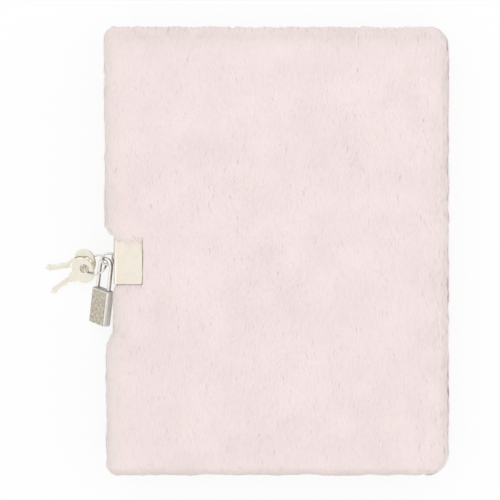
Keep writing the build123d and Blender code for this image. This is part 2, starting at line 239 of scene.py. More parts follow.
def add_node(tree, kind, inputs=None, **settings):
    """Node with its settings and input values or links."""
    node = tree.nodes.new(kind)
    for key, value in settings.items():
        setattr(node, key, value)
    for key, value in (inputs or {}).items():
        if isinstance(value, bpy.types.NodeSocket):
            tree.links.new(value, node.inputs[key])
        else:
            node.inputs[key].default_value = value
    return node


def math_node(tree, operation, first, second=0.0, third=0.0):
    """Result of one sum."""
    node = add_node(tree, "ShaderNodeMath", {0: first, 1: second, 2: third}, operation=operation)
    return node.outputs[0]


def mix_colour(tree, factor, first, second, mode="MIX"):
    """Two colours mixed."""
    node = add_node(tree, "ShaderNodeMix", {"Factor": factor}, data_type="RGBA", blend_type=mode)
    for socket, value in ((node.inputs[6], first), (node.inputs[7], second)):
        if isinstance(value, bpy.types.NodeSocket):
            tree.links.new(value, socket)
        else:
            socket.default_value = value
    return node.outputs[2]


def ramp(tree, value, low, high, out_low=0.0, out_high=1.0):
    """Value carried smoothly from one range to another."""
    inputs = {"Value": value, "From Min": low, "From Max": high, "To Min": out_low, "To Max": out_high}
    node = add_node(tree, "ShaderNodeMapRange", inputs, interpolation_type="SMOOTHSTEP")
    return node.outputs["Result"]


def noise(tree, vector, scale, detail=2.0, roughness=0.5):
    """Noise over the surface, as a value."""
    inputs = {"Vector": vector, "Scale": scale, "Detail": detail, "Roughness": roughness}
    return add_node(tree, "ShaderNodeTexNoise", inputs).outputs["Fac"]


def stretched(tree, vector, factors):
    """Coordinates stretched along each axis."""
    node = add_node(tree, "ShaderNodeVectorMath", {0: vector, 1: factors}, operation="MULTIPLY")
    return node.outputs[0]


def wave(tree, vector, scale, distortion, direction):
    """Bands across the surface, as a value."""
    inputs = {"Vector": vector, "Scale": scale, "Distortion": distortion}
    return add_node(tree, "ShaderNodeTexWave", inputs, bands_direction=direction).outputs["Fac"]


def object_place(tree):
    """Coordinates of the piece itself."""
    return add_node(tree, "ShaderNodeTexCoord").outputs["Object"]


def attribute(tree, name):
    """Value kept on the mesh under that name."""
    return add_node(tree, "ShaderNodeAttribute", attribute_name=name).outputs["Fac"]


def split(tree, vector):
    """The X, Y and Z of a vector."""
    return add_node(tree, "ShaderNodeSeparateXYZ", {0: vector}).outputs


def product(tree, *values):
    """Values multiplied together."""
    result = values[0]
    for value in values[1:]:
        result = math_node(tree, "MULTIPLY", result, value)
    return result


def away(tree, value, middle=0.0):
    """How far a value lies from a middle, either way."""
    return math_node(tree, "ABSOLUTE", math_node(tree, "SUBTRACT", value, middle))


def scaled(tree, colour, level):
    """Colour made lighter or darker."""
    node = add_node(tree, "ShaderNodeVectorMath", {0: colour, "Scale": level}, operation="SCALE")
    return node.outputs[0]


def connect(tree, node, links):
    """Links into a node's inputs."""
    for label, socket in links.items():
        tree.links.new(socket, node.inputs[label])


def rgba(colour, factor=1.0):
    """Colour with full alpha, made lighter or darker by a factor."""
    return tuple(min(1.0, channel * factor) for channel in colour[:3]) + (1.0,)


SURFACE = [("Colour", "NodeSocketColor"), ("Roughness", "NodeSocketFloat"), ("Height", "NodeSocketFloat")]
# Fixed colours of the materials
# painted shade laid on plated metal where it turns away from its bright side
PAINTED_METAL_SHADE = (0.1, 0.088, 0.076, 1)
SMEAR = (0.42, 0.38, 0.32, 1)
SEAM = (0.14, 0.125, 0.11, 1)
DARK_TOP_END = (0.25, 0.225, 0.2, 1)
RULED_LINE = (0.62, 0.5, 0.53, 1)
# painted shade of the gaps between leaves on the page edges
LEAF_GAP_SHADE = (0.5, 0.47, 0.42, 1)
GAUZE_DARK, GAUZE_LIGHT = (0.55, 0.5, 0.43, 1), (0.82, 0.78, 0.7, 1)
# Share of the light that the pile lets through, the padlock's panel and seam, and half of a page's ruling
LIGHT_THROUGH_PILE = 0.75
PANEL_SIDE, PANEL_END, PANEL_SOFT = 1.2 * MM, 0.45 * MM, 0.06 * MM
SEAM_PLACE = 0.12 * MM
RULED_HALF = 85.5 * MM


def pile_group():
    """Tone of the pile: darker at the root, greyer at the rim with painted shade, in soft patches where the
    nap turns.
    """
    inputs = {
        "Root": (0.8, 0.7, 0.7, 1),
        "Tip": (0.9, 0.8, 0.8, 1),
        "Patch size": 70.0,
        "Patch depth": 0.04,
        "Rim shade": (0.925, 0.965, 0.935, 1),
    }
    tree, given, go = node_group("Pile tone", inputs, SURFACE[:1])
    patch = noise(tree, stretched(tree, object_place(tree), (1.0, 0.6, 1.0)), given["Patch size"], 3.0)
    colour = mix_colour(tree, ramp(tree, attribute(tree, "along"), 0.0, 0.75), given["Root"], given["Tip"])
    # painted shade: near the cover's edges the pile is greyed where it rounds away from the light
    rim_shaded = mix_colour(tree, 1.0, colour, given["Rim shade"], "MULTIPLY")
    colour = mix_colour(tree, attribute(tree, "rim"), colour, rim_shaded)
    shade = math_node(tree, "ADD", math_node(tree, "SUBTRACT", patch, 0.5), attribute(tree, "tone"))
    level = math_node(tree, "MULTIPLY_ADD", shade, given["Patch depth"], 1.0)
    connect(tree, go, {"Colour": scaled(tree, colour, level)})
    return tree


def handled_metal_group():
    """Plated metal that has been handled: smears and fine scratches, with painted shade where it turns away
    from its bright side.
    """
    inputs = {
        "Colour": (0.8, 0.8, 0.8, 1),
        "Smooth": 0.12,
        "Smeared": 0.3,
        "Smear size": 160.0,
        "Scratch depth": 0.3,
        "Shade depth": 0.0,
        "Bright side": (0.0, 0.0, 1.0),
    }
    tree, given, go = node_group("Handled metal", inputs, SURFACE)
    coordinates = add_node(tree, "ShaderNodeTexCoord").outputs
    place = coordinates["Object"]
    smear = ramp(tree, noise(tree, place, given["Smear size"], 4.0, 0.6), 0.42, 0.68)
    scratch = ramp(tree, noise(tree, stretched(tree, place, (5200.0, 260.0, 260.0)), 1.0, 2.0), 0.6, 0.75)
    span = math_node(tree, "SUBTRACT", given["Smeared"], given["Smooth"])
    rough = math_node(tree, "MULTIPLY_ADD", smear, span, given["Smooth"])
    rough = math_node(tree, "MULTIPLY_ADD", scratch, 0.05, rough)
    colour = mix_colour(tree, smear, given["Colour"], mix_colour(tree, 0.08, given["Colour"], SMEAR))
    sides = {0: coordinates["Normal"], 1: given["Bright side"]}
    bright_side = add_node(tree, "ShaderNodeVectorMath", sides, operation="DOT_PRODUCT").outputs["Value"]
    # painted shade: darker as the surface turns away from the bright side
    painted_shade = product(tree, ramp(tree, bright_side, 0.0, 0.8, 1.0, 0.0), given["Shade depth"])
    colour = mix_colour(tree, painted_shade, colour, PAINTED_METAL_SHADE)
    height = product(tree, scratch, given["Scratch depth"])
    connect(tree, go, {"Colour": colour, "Roughness": rough, "Height": height})
    return tree


def paper_group():
    """Paper or board: fibres, flecks and a soft unevenness."""
    inputs = {
        "Colour": (0.9, 0.9, 0.9, 1),
        "Fleck colour": (0.7, 0.65, 0.6, 1),
        "Fleck": 0.2,
        "Fibre size": 1400.0,
    }
    tree, given, go = node_group("Paper fibre", inputs, SURFACE)
    place = object_place(tree)
    fibre = noise(tree, stretched(tree, place, (1.0, 0.35, 1.0)), given["Fibre size"], 5.0, 0.7)
    fleck = product(tree, ramp(tree, fibre, 0.56, 0.74), given["Fleck"])
    colour = mix_colour(tree, fleck, given["Colour"], given["Fleck colour"])
    level = ramp(tree, noise(tree, place, 38.0, 3.0), 0.3, 0.7, 0.965, 1.0)
    rough = ramp(tree, fibre, 0.3, 0.7, 0.72, 0.9)
    connect(tree, go, {"Colour": scaled(tree, colour, level), "Roughness": rough, "Height": fibre})
    return tree


def new_material(name, **constants):
    """Material with a Principled shader whose plain values are set on its sockets."""
    material = bpy.data.materials.new(name)
    material.use_nodes = True
    shader = material.node_tree.nodes["Principled BSDF"]
    for key, value in constants.items():
        shader.inputs[key.replace("_", " ")].default_value = value
    return material, material.node_tree, shader


def use_group(tree, name, maker, values):
    """Outputs of a shared group, made once and placed in a material with its own values."""
    group = bpy.data.node_groups.get(name) or maker()
    node = add_node(tree, "ShaderNodeGroup", node_tree=group)
    for key, value in values.items():
        node.inputs[key].default_value = value
    return node.outputs


def bump(tree, shader, height, strength, distance):
    """Bump on the shader's normal."""
    inputs = {"Height": height, "Strength": strength, "Distance": distance}
    connect(tree, shader, {"Normal": add_node(tree, "ShaderNodeBump", inputs).outputs["Normal"]})


def pile_material():
    """Pale pink pile, which lets light through to the pile below it."""
    plush = bpy.context.scene.diary_plush
    material, tree, shader = new_material(
        "pale_pink_pile", Roughness=0.92, Sheen_Weight=0.25, Sheen_Roughness=0.6, Specular_IOR_Level=0.15
    )
    values = {"Root": rgba(plush.root), "Tip": rgba(plush.tip), "Patch size": 75.0, "Patch depth": 0.05}
    pile = use_group(tree, "Pile tone", pile_group, values)
    path = add_node(tree, "ShaderNodeLightPath").outputs
    light = math_node(tree, "MAXIMUM", path["Is Shadow Ray"], path["Is Diffuse Ray"])
    alpha = math_node(tree, "MULTIPLY_ADD", light, -LIGHT_THROUGH_PILE, 1.0)
    connect(tree, shader, {"Base Color": pile["Colour"], "Alpha": alpha})
    return material


def backing_material():
    """Knitted backing under the pile."""
    plush = bpy.context.scene.diary_plush
    material, tree, shader = new_material("knitted_backing", Roughness=0.95, Specular_IOR_Level=0.1)
    place = object_place(tree)
    knit = product(tree, wave(tree, place, 420.0, 1.2, "Y"), wave(tree, place, 520.0, 1.6, "X"))
    colour = mix_colour(tree, knit, rgba(plush.backing, 0.9), rgba(plush.backing))
    connect(tree, shader, {"Base Color": colour})
    bump(tree, shader, knit, 0.35, 0.2 * MM)
    return material


def metal_material(name, colour, smooth, smeared, scratch, shade_depth=0.0, bright_side=(0.0, 0.0, 1.0)):
    """Plated metal with its own gloss, darkened by painted shade away from its bright side."""
    material, tree, shader = new_material(name, Metallic=1.0)
    values = {"Colour": rgba(colour), "Smooth": smooth, "Smeared": smeared, "Scratch depth": scratch}
    values |= {"Shade depth": shade_depth, "Bright side": bright_side}
    metal = use_group(tree, "Handled metal", handled_metal_group, values)
    connect(tree, shader, {"Base Color": metal["Colour"], "Roughness": metal["Roughness"]})
    bump(tree, shader, metal["Height"], 0.25, 0.02 * MM)
    return material


def lock_shell_material():
    """Bright padlock shell: a brushed panel on each face, a dark seam beside it and a darker top."""
    metal = bpy.context.scene.diary_metal
    material, tree, shader = new_material("padlock_shell", Metallic=0.3)
    values = {"Colour": rgba(metal.case), "Smooth": 0.42, "Smeared": 0.55, "Scratch depth": 0.3}
    shell = use_group(tree, "Handled metal", handled_metal_group, values | {"Smear size": 220.0})
    coordinates = add_node(tree, "ShaderNodeTexCoord").outputs
    place = coordinates["Object"]
    parts = split(tree, place)
    across, out = away(tree, parts["X"]), away(tree, parts["Z"])
    along = away(tree, parts["Y"], LOCK_TOP - LOCK_HEIGHT / 2)
    half, tall = LOCK_WIDTH / 2 - PANEL_SIDE, LOCK_HEIGHT / 2 - PANEL_END
    face = ramp(tree, out, LOCK_DEPTH / 2 - 0.6 * MM, LOCK_DEPTH / 2 - 0.5 * MM)
    wide = ramp(tree, across, half - PANEL_SOFT, half + PANEL_SOFT, 1.0, 0.0)
    high = ramp(tree, along, tall - PANEL_SOFT, tall + PANEL_SOFT, 1.0, 0.0)
    mask = product(tree, wide, high, face)
    grain = noise(tree, stretched(tree, place, (5200.0, 1500.0, 1000.0)), 1.0, 3.0, 0.7)
    mottle = noise(tree, stretched(tree, place, (900.0, 700.0, 700.0)), 1.0, 2.0)
    tone = math_node(tree, "MULTIPLY_ADD", grain, 0.6, product(tree, mottle, 0.4))
    panel = mix_colour(tree, ramp(tree, tone, 0.32, 0.68), rgba(metal.panel, 0.55), rgba(metal.panel, 1.4))
    colour = mix_colour(tree, mask, shell["Colour"], panel)
    seam = ramp(tree, away(tree, across, half + SEAM_PLACE), 0.08 * MM, 0.16 * MM, 0.75, 0.0)
    colour = mix_colour(tree, product(tree, seam, face), colour, SEAM)
    # the case is made darker over its top end
    top = split(tree, coordinates["Normal"])["Y"]
    colour = mix_colour(tree, ramp(tree, top, 0.6, 0.9, 0.0, 0.6), colour, DARK_TOP_END)
    span = math_node(tree, "SUBTRACT", ramp(tree, grain, 0.2, 0.8, 0.42, 0.62), shell["Roughness"])
    rough = math_node(tree, "MULTIPLY_ADD", mask, span, shell["Roughness"])
    connect(tree, shader, {"Base Color": colour, "Roughness": rough})
    bump(tree, shader, math_node(tree, "MULTIPLY_ADD", grain, mask, shell["Height"]), 0.5, 0.03 * MM)
    return material


def paper_material(name, colour, fleck_colour, fleck, fibre=1400.0):
    """Plain paper or board."""
    material, tree, shader = new_material(name, Specular_IOR_Level=0.25)
    values = {"Colour": rgba(colour), "Fleck colour": fleck_colour, "Fleck": fleck, "Fibre size": fibre}
    paper = use_group(tree, "Paper fibre", paper_group, values)
    connect(tree, shader, {"Base Color": paper["Colour"], "Roughness": paper["Roughness"]})
    bump(tree, shader, paper["Height"], 0.2, 0.04 * MM)
    return material


def page_material():
    """Page paper, with faint ruled lines on the leaves and painted shade in streaks along their edges."""
    paper = bpy.context.scene.diary_paper
    material, tree, shader = new_material("ruled_page", Specular_IOR_Level=0.25)
    warm = (paper.page[0] * 0.9, paper.page[1] * 0.86, paper.page[2] * 0.78)
    values = {"Colour": rgba(paper.page), "Fleck colour": rgba(warm), "Fleck": 0.35, "Fibre size": 1700.0}
    plain = use_group(tree, "Paper fibre", paper_group, values)
    place = object_place(tree)
    y = split(tree, place)["Y"]
    facing = add_node(tree, "ShaderNodeNewGeometry").outputs["Normal"]
    flat = ramp(tree, away(tree, split(tree, facing)["Z"]), 0.9, 0.95)
    step = math_node(tree, "FRACT", math_node(tree, "DIVIDE", y, paper.ruling))
    line = ramp(tree, away(tree, step, 0.5), 0.015, 0.03, 1.0, 0.0)
    inside = ramp(tree, away(tree, y), RULED_HALF, RULED_HALF + 0.2 * MM, 1.0, 0.0)
    colour = mix_colour(tree, product(tree, line, flat, inside, 0.55), plain["Colour"], RULED_LINE)
    # painted shade: dark streaks on the upright edges stand in for the shadowed gaps between leaves
    layer = noise(tree, stretched(tree, place, (14.0, 14.0, 1900.0)), 1.0, 3.0, 0.7)
    upright = math_node(tree, "SUBTRACT", 1.0, flat)
    layer = product(tree, ramp(tree, layer, 0.5, 0.66), upright, 0.55)
    colour = mix_colour(tree, layer, colour, LEAF_GAP_SHADE)
    connect(tree, shader, {"Base Color": colour, "Roughness": plain["Roughness"]})
    bump(tree, shader, plain["Height"], 0.15, 0.03 * MM)
    return material


def gauze_material():
    """Open-weave lining glued to the back of the pages."""
    material, tree, shader = new_material("spine_gauze", Roughness=0.9)
    place = object_place(tree)
    threads = [wave(tree, place, 330.0, 0.6, direction) for direction in "YZ"]
    weave = math_node(tree, "MAXIMUM", *threads)
    connect(tree, shader, {"Base Color": mix_colour(tree, weave, GAUZE_DARK, GAUZE_LIGHT)})
    bump(tree, shader, weave, 0.5, 0.1 * MM)
    return material


def material_named(name, maker, *values):
    """Material of that name, made once."""
    return bpy.data.materials.get(name) or maker(*values)


# Bright wire: roughness where it is smooth and where it is smeared, depth of scratches and of the painted
# shade away from its bright side
WIRE_FINISH = (0.05, 0.12, 0.3, 0.8)


def plated(name, *values):
    """Plated metal of that name, made once."""
    return material_named(name, metal_material, name, *values)


def bright_wire():
    """Bright nickel of the loops and the key ring."""
    return plated("bright_nickel", bpy.context.scene.diary_metal.wire, *WIRE_FINISH)


# Meshes


def place_piece(name, mesh, material, place=None):
    """Piece with its mesh and material, put into the scene."""
    mesh.materials.clear()
    mesh.materials.append(material)
    piece = bpy.data.objects.new(name, mesh)
    bpy.context.scene.collection.objects.link(piece)
    if place is not None:
        piece.matrix_world = place
    return piece


def link_mesh(name, vertices, faces, material, smooth=True):
    """New piece from vertices and faces."""
    mesh = bpy.data.meshes.new(name)
    mesh.from_pydata(vertices, [], faces)
    mesh.update()
    if smooth:
        mesh.shade_smooth()
    return place_piece(name, mesh, material)


def edited_piece(work, name, material, sharp, place=None):
    """Piece from an edited mesh, smooth except where it bends more than an angle."""
    mesh = bpy.data.meshes.new(name)
    work.to_mesh(mesh)
    work.free()
    mesh.shade_smooth()
    mesh.set_sharp_from_angle(angle=math.radians(sharp))
    return place_piece(name, mesh, material, place)


def dress(node, material):
    """Put a material on a solid that stays as it is."""
    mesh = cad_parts[node].data
    mesh.materials.clear()
    mesh.materials.append(material)


def settle(piece):
    """Carry out a piece's modifiers on its mesh."""
    graph = bpy.context.evaluated_depsgraph_get()
    made = bpy.data.meshes.new_from_object(piece.evaluated_get(graph))
    piece.modifiers.clear()
    piece.data = made


def softened(node, name, material, width, place=None):
    """Copy of a solid with its sharp edges eased, so that they catch the light."""
    work = bmesh.new()
    work.from_mesh(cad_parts[node].data)
    bmesh.ops.remove_doubles(work, verts=work.verts, dist=1e-6)
    bmesh.ops.dissolve_limit(work, angle_limit=math.radians(1.0), verts=work.verts, edges=work.edges)
    sharp = [edge for edge in work.edges if edge.is_manifold and edge.calc_face_angle() > math.radians(32)]
    bmesh.ops.bevel(
        work, geom=sharp, offset=width, segments=2, profile=0.6, affect="EDGES", clamp_overlap=True
    )
    bmesh.ops.triangulate(work, faces=[face for face in work.faces if len(face.verts) > 4])
    if place is not None:
        work.transform(place.inverted())
    piece = edited_piece(work, name, material, 40, place)
    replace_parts(piece, node)
    return piece


def tube(name, points, radius, material, up, closed=True, squash=1.0):
    """Wire along a line of points, as a mesh with a round or flattened section."""
    points = np.array(points, float)
    count, around = len(points), 20
    ahead = np.roll(points, -1, 0) - np.roll(points, 1, 0)
    if not closed:
        ahead[0], ahead[-1] = points[1] - points[0], points[-1] - points[-2]
    ahead /= np.linalg.norm(ahead, axis=1, keepdims=True)
    side = np.cross(ahead, np.array(up, float))
    side /= np.linalg.norm(side, axis=1, keepdims=True)
    top = np.cross(side, ahead)
    turn = np.linspace(0, 2 * np.pi, around, endpoint=False)
    ring = points[:, None] + radius * (
        np.cos(turn)[None, :, None] * side[:, None] + squash * np.sin(turn)[None, :, None] * top[:, None]
    )
    faces = []
    for i in range(count if closed else count - 1):
        j = (i + 1) % count
        for k in range(around):
            m = (k + 1) % around
            faces.append((i * around + k, i * around + m, j * around + m, j * around + k))
    if not closed:
        faces.append(tuple(range(around)))
        faces.append(tuple((count - 1) * around + k for k in reversed(range(around))))
    return link_mesh(name, ring.reshape(-1, 3).tolist(), faces, material)


# The cover's skin: a section in X and Z, swept along Y and rolled over at the head and tail


def ease(value):
    """Smooth step from 0 to 1."""
    value = np.clip(value, 0, 1)
    return value * value * (3 - 2 * value)


# The fore edge, and the notch that the clasp draws in it
FORE_IN = 1.25 * MM
FORE_LEAN = 0.0065
NOTCH_DEPTH = 4.0 * MM
NOTCH_HEAD, NOTCH_HEAD_RUN = 11.8 * MM, 7.2 * MM
NOTCH_TAIL, NOTCH_TAIL_RUN = -46.5 * MM, 9.5 * MM


def fore_edge(y):
    """X of the cover's fore edge, which leans in towards the tail and is drawn in beside the clasp."""
    head = ease((NOTCH_HEAD - y) / NOTCH_HEAD_RUN)
    tail = ease((y - NOTCH_TAIL) / NOTCH_TAIL_RUN)
    return FORE_X + FORE_IN - FORE_LEAN * y + NOTCH_DEPTH * head * tail


EDGE_REACH = 2.4 * MM
ROLL_RADIUS = 2.55 * MM
RAG = 0.32 * MM
CORE_Z = 18.4 * MM
TURN_IN_Z = FOLD_HIGH + 0.05 * MM
TURN_FALL = CORE_Z - TURN_IN_Z
FORE_CORNER = 5.0 * MM
SPINE_CORNER = 8.6 * MM
ROLL = 0.05


def corner_inset(y, radius, depth):
    """How far a rounded corner draws the edge in, at a place along the book."""
    past = np.clip(np.abs(y) - (HALF_LENGTH - depth - radius), 0, radius)
    return radius - np.sqrt(radius**2 - past**2)


def roll_start(y, depth):
    """X at which the cover's flat face gives way to its rolled fore edge."""
    return np.minimum(fore_edge(y) + depth, board_low.x - 0.35 * MM) + EDGE_REACH


def section(patch, a, y, reach_y, depth):
    """Point of the section and the core that it bulges from, at a share a of a patch."""
    rolled = corner_inset(reach_y, EDGE_REACH, depth)
    rise = COVER_TOP - depth - CORE_Z
    skin, core = np.zeros((len(a), 2)), np.zeros((len(a), 2))
    if patch in ("front", "back"):
        start = roll_start(y, depth) + corner_inset(reach_y, FORE_CORNER, depth) - rolled
        angle = np.pi * np.clip(1 - a / ROLL, 0, 1)
        share = np.maximum((a - ROLL) / (1 - ROLL), 0)
        x = start + (JOINT_X - start) * share
        lift = np.where(angle < np.pi / 2, rise, TURN_FALL)
        core[:, 0], core[:, 1] = x, CORE_Z
        skin[:, 0] = x - EDGE_REACH * np.sin(angle)
        skin[:, 1] = CORE_Z + lift * np.cos(angle)
    elif patch in ("front_joint", "back_joint"):
        radius = COVER_DEPTH - depth
        flat = FOLD_X - JOINT_X
        arc = radius * np.pi / 2
        run = a * (flat + arc)
        beta = np.clip((run - flat) / radius, 0, np.pi / 2 + 0.2)
        x = np.where(run < flat, JOINT_X + run, FOLD_X + radius * np.sin(beta))
        z = np.where(run < flat, FOLD_HIGH + radius, FOLD_HIGH + radius * np.cos(beta))
        skin[:, 0], skin[:, 1] = x, z
        core[:, 0] = x - rise * np.where(run < flat, 0, np.sin(beta))
        core[:, 1] = z - rise * np.where(run < flat, 1, np.cos(beta))
    else:
        skin[:, 0] = SPINE_X - depth
        skin[:, 1] = FOLD_HIGH + (FOLD_LOW - FOLD_HIGH) * a
        core[:, 0], core[:, 1] = skin[:, 0] - rise, skin[:, 1]
    if patch not in ("front", "back"):
        inset = corner_inset(reach_y, SPINE_CORNER, depth) - rolled * rise / EDGE_REACH
        inset = np.maximum(inset, 0) * ease((skin[:, 0] - JOINT_X) / (SPINE_X - depth - JOINT_X))
        skin[:, 0] -= inset
        core[:, 0] -= inset
    if patch.startswith("back"):
        skin[:, 1] = 2 * MIDDLE_Z - skin[:, 1]
        core[:, 1] = 2 * MIDDLE_Z - core[:, 1]
    return skin, core


def patch_length(patch, depth):
    """Length of a patch's section."""
    if patch in ("front", "back", "front_turn", "back_turn"):
        return JOINT_X - FORE_X + 3 * MM
    if patch == "spine":
        return FOLD_HIGH - FOLD_LOW
    return FOLD_X - JOINT_X + (COVER_DEPTH - depth) * np.pi / 2


def straight_half(depth):
    """Half of the straight stretch between the rolled head and tail."""
    return HALF_LENGTH - depth - EDGE_REACH


def skin_points(patch, a, v, depth):
    """Points of the skin and their outward directions."""
    a, v = np.asarray(a, float), np.asarray(v, float)
    if patch.endswith("turn"):
        return turn_points(patch, a, v, depth)
    half = straight_half(depth)
    end = np.sign(v)
    phi = np.clip((np.abs(v) - half) / ROLL_RADIUS, 0, np.pi)
    y = np.clip(v, -half, half)
    reach_y = y + end * EDGE_REACH * np.sin(phi)
    skin, core = section(patch, a, y, reach_y, depth)
    arm = skin - core
    out = arm / np.linalg.norm(arm, axis=1, keepdims=True)
    fall = TURN_FALL / (COVER_TOP - depth - CORE_Z)
    reach = np.cos(phi) * np.where(phi > np.pi / 2, fall, 1.0)
    flat = core + arm * reach[:, None]
    place = np.stack([flat[:, 0], reach_y, flat[:, 1]], 1)
    normal = np.stack([out[:, 0] * np.cos(phi), end * np.sin(phi), out[:, 1] * np.cos(phi)], 1)
    around, along = place[:, 0] + place[:, 2], place[:, 1]
    rag = soft_noise(around, along, *RAGGED) + 0.6 * soft_noise(around, along, *FRAYED)
    edge = ease((0.9 - np.abs(normal[:, 2])) / 0.5) * ease((place[:, 2] - 1.5 * MM) / (2 * MM))
    return place + normal * (RAG * rag * edge)[:, None], normal


def turn_points(patch, a, v, depth):
    """Points of the plush turned in over the inside of a cover, and their outward directions."""
    start = roll_start(v, depth)
    level, facing = (TURN_IN_Z, -1.0) if patch == "front_turn" else (2 * MIDDLE_Z - TURN_IN_Z, 1.0)
    place = np.stack([start + (JOINT_X - start) * a, v, np.full(len(a), level)], 1)
    return place, np.tile((0.0, 0.0, facing), (len(a), 1))


def soft_noise(x, y, size, seed):
    """Smooth noise from -1 to 1 over a plane, the same in each run."""
    table = np.random.default_rng(seed).uniform(-1, 1, (257, 257))
    gx, gy = np.asarray(x) / size + 90.0, np.asarray(y) / size + 90.0
    ix, iy = np.floor(gx).astype(int), np.floor(gy).astype(int)
    fx, fy = ease(gx - ix), ease(gy - iy)
    ix, iy = ix % 256, iy % 256
    low = table[ix, iy] * (1 - fx) + table[ix + 1, iy] * fx
    high = table[ix, iy + 1] * (1 - fx) + table[ix + 1, iy + 1] * fx
    return low * (1 - fy) + high * fy


# Along a tuft: the share of its length, and its height there when laid or standing
STATIONS = np.array([0.0, 0.36, 0.7, 1.0])
LAID = np.array([0.0, 0.78, 1.0, 0.66])
STANDING = np.array([0.0, 0.4, 0.78, 1.0])
PATCHES = ("front", "back", "spine", "front_joint", "back_joint", "front_turn", "back_turn")
# Soft noise over the pile and the skin: its size and its seed
BROAD, FINE, LIFT, EDGE_LIFT = (13 * MM, 11), (4.5 * MM, 12), (9 * MM, 13), (4 * MM, 14)
RAGGED, FRAYED = (7 * MM, 15), (3.2 * MM, 16)
# How far tufts are sown past a fold's share and past the straight stretch, and where a turn-in starts
FOLD_PAST = 0.05
TAIL_PAST, HEAD_PAST, TURN_TAIL = 4.2 * MM, 4.6 * MM, 1.5 * MM
# The pile and its backing beside the clasp plate, at the rim and over the table
PLATE_MARGIN = 0.3 * MM
PLATE_DIP = 1.85 * MM
BACKING_THICKNESS = 0.35 * MM
STRAY_BAND, STRAY_SHARE, STRAY_MORE = 2.6 * MM, 0.12, 0.3
DROOP_RUN = 3.5 * MM
# width of the band of painted shade along the rim
RIM_WIDTH = 9 * MM
TABLE_GAP = 0.03 * MM


def over_plate(points):
    """Which points lie over the clasp plate."""
    inside = points[:, 0] < plate_high.x + PLATE_MARGIN
    inside &= points[:, 1] > plate_low.y - PLATE_MARGIN
    return inside & (points[:, 1] < plate_high.y + PLATE_MARGIN)


def tuft_mesh(name, patch, count, seed, material, width_factor=1.0):
    """Tufts of pile over one patch of the skin, each a bent blade that tapers to its tip."""
    plush = bpy.context.scene.diary_plush
    depth, width = plush.depth, plush.width * width_factor
    chance = np.random.default_rng(seed)
    half = straight_half(depth)
    inside = patch.endswith("turn")
    cover = patch in ("front", "back")
    past = 0.0 if cover or inside else FOLD_PAST
    v_low, v_high = (TURN_TAIL - half, half) if inside else (-half - TAIL_PAST, half + HEAD_PAST)
    a = chance.uniform(-past, 1 + past, count)
    v = chance.uniform(v_low, v_high, count)
    root, out = skin_points(patch, a, v, depth)
    keep = np.ones(count, bool)
    if cover:
        keep = ~over_plate(root) & ((a > ROLL / 2) | (np.abs(v) < half))
    if inside:
        keep = (root[:, 0] < paper_low.x - 0.5 * MM) | (np.abs(v) > paper_high.y + 0.4 * MM)
    a, v, root, out = a[keep], v[keep], root[keep], out[keep]
    count = len(a)
    span = patch_length(patch, depth)
    s = a * span + PATCHES.index(patch)
    broad = soft_noise(s, v, *BROAD)
    fine = soft_noise(s, v, *FINE)
    lift = soft_noise(s, v, *LIFT)
    lean = 0.3 * broad + 0.2 * fine + chance.normal(0, 0.1, count)
    length = plush.length * (0.8 + 0.4 * chance.random(count)) * (1 + 0.12 * lift)
    height = depth * (0.8 + 0.12 * lift + 0.26 * chance.random(count))
    edge = ease((0.85 - np.abs(out[:, 2])) / 0.3)
    height *= 1 + edge * (0.3 + 0.3 * soft_noise(s, v, *EDGE_LIFT))
    # tufts beside the plate's head end stop at it, apart from those that hang over its face
    above = root[:, 1] - plate_high.y
    beside = (root[:, 0] < plate_high.x) & (above > 0) & cover
    if patch == "front":
        stray = chance.random(count) < STRAY_SHARE
        length *= 1 + STRAY_MORE * (stray & beside & (above < STRAY_BAND))
        beside &= out[:, 2] < 0.6
    length = np.where(beside, np.minimum(length, above + 0.5 * MM), length)
    if inside:
        height *= 0.6
        room = np.where(v > paper_high.y, v - paper_high.y, length)
        length = np.minimum(0.5 * length, room / 1.25)
    standing = (chance.random(count) < 0.05 + 0.2 * edge) & (not inside)
    height = np.where(standing, depth * (chance.uniform(1.0, 1.6, count) + 0.7 * edge), height)
    tone = 0.35 * broad + 0.3 * lift + chance.normal(0, 0.15, count)
    roll = chance.normal(0, 0.2, count)
    spread = chance.normal(0, 0.09, count)
    widths = width * (0.75 + 0.5 * chance.random(count)) * np.where(standing, 0.45, 1.0)
    places, normals = [], []
    for k, share in enumerate(STATIONS):
        run = length * (0.25 * share + 0.75 * share**1.25)
        curl = lean * (0.7 + 0.5 * share)
        along = np.clip(a + run * np.sin(curl) / span, -past, 1.03)
        place, normal = skin_points(patch, along, v - run * np.cos(curl), depth)
        rise = height * np.where(standing, STANDING[k], LAID[k])
        place = place + normal * rise[:, None]
        if patch == "front":
            droop = ease((plate_high.y - place[:, 1]) / DROOP_RUN) * over_plate(place)
            rest = np.minimum(place[:, 2], plate_high.z + 0.2 * MM + 0.4 * rise)
            place[:, 2] += (rest - place[:, 2]) * droop
        places.append(place)
        normals.append(normal)
    vertices, shading = blade_points(places, normals, widths, roll, spread)
    if patch in ("back", "back_joint"):
        vertices[:, :, 2] = np.maximum(vertices[:, :, 2], TABLE_GAP)
    inward = np.minimum(root[:, 0] - fore_edge(root[:, 1]), SPINE_X - root[:, 0])
    inward = np.minimum(inward, HALF_LENGTH - np.abs(root[:, 1]))
    # rim marks where painted shade greys the pile near the cover's edges
    values = {"tone": tone, "rim": (1 - ease(inward / RIM_WIDTH)) * ease(out[:, 2] / 0.8)}
    return blade_piece(name, vertices, shading, values, material)


